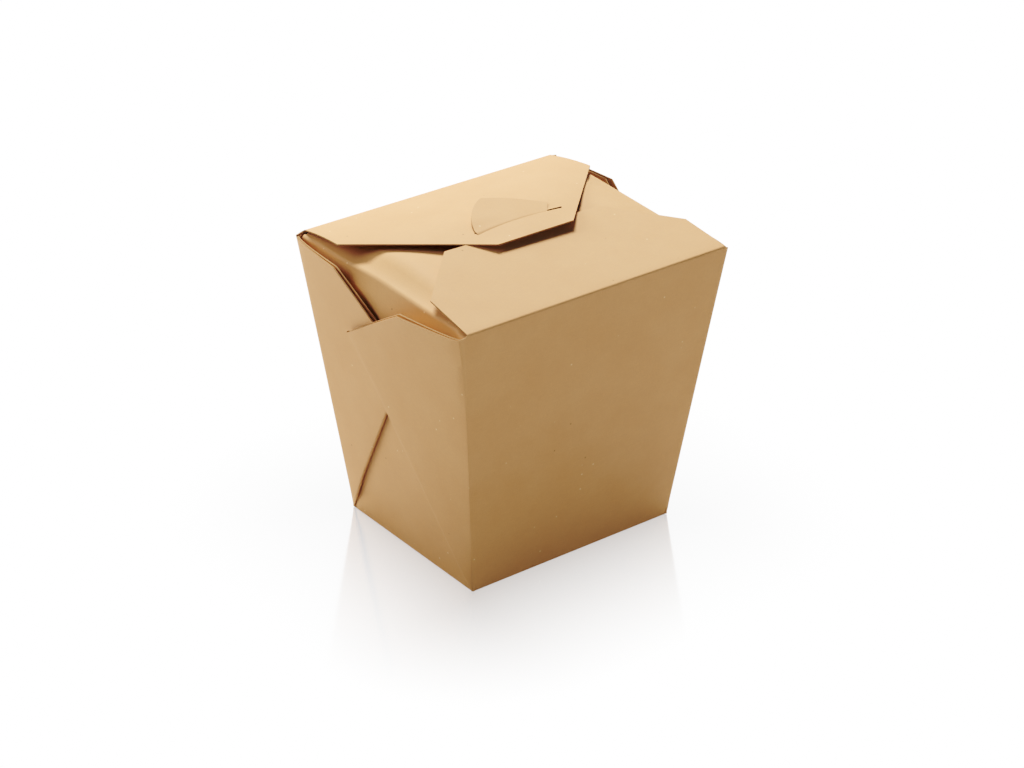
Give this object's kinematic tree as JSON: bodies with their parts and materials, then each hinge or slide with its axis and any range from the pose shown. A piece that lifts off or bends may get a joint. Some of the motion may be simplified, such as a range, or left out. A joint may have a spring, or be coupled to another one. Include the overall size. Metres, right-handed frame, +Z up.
{
  "type": "folded noodle takeaway box",
  "caption": "Flared takeaway food pail of folded kraft board, shut by a tongue through the slit of its top flap, with gusseted ends.",
  "frame": {"origin": "centre of the base, on the surface that the box stands on", "axes": "+X along the wide front and back panels, +Y from the front panel to the back panel, +Z up"},
  "size_m": [0.1156, 0.0916, 0.1118],
  "materials": {
    "kraft_board": "matt brown kraft board with fine fibres and flecks, and paler cut edges"
  },
  "bodies": {
    "root": {"carton": "kraft_board"}
  },
  "joints": []
}
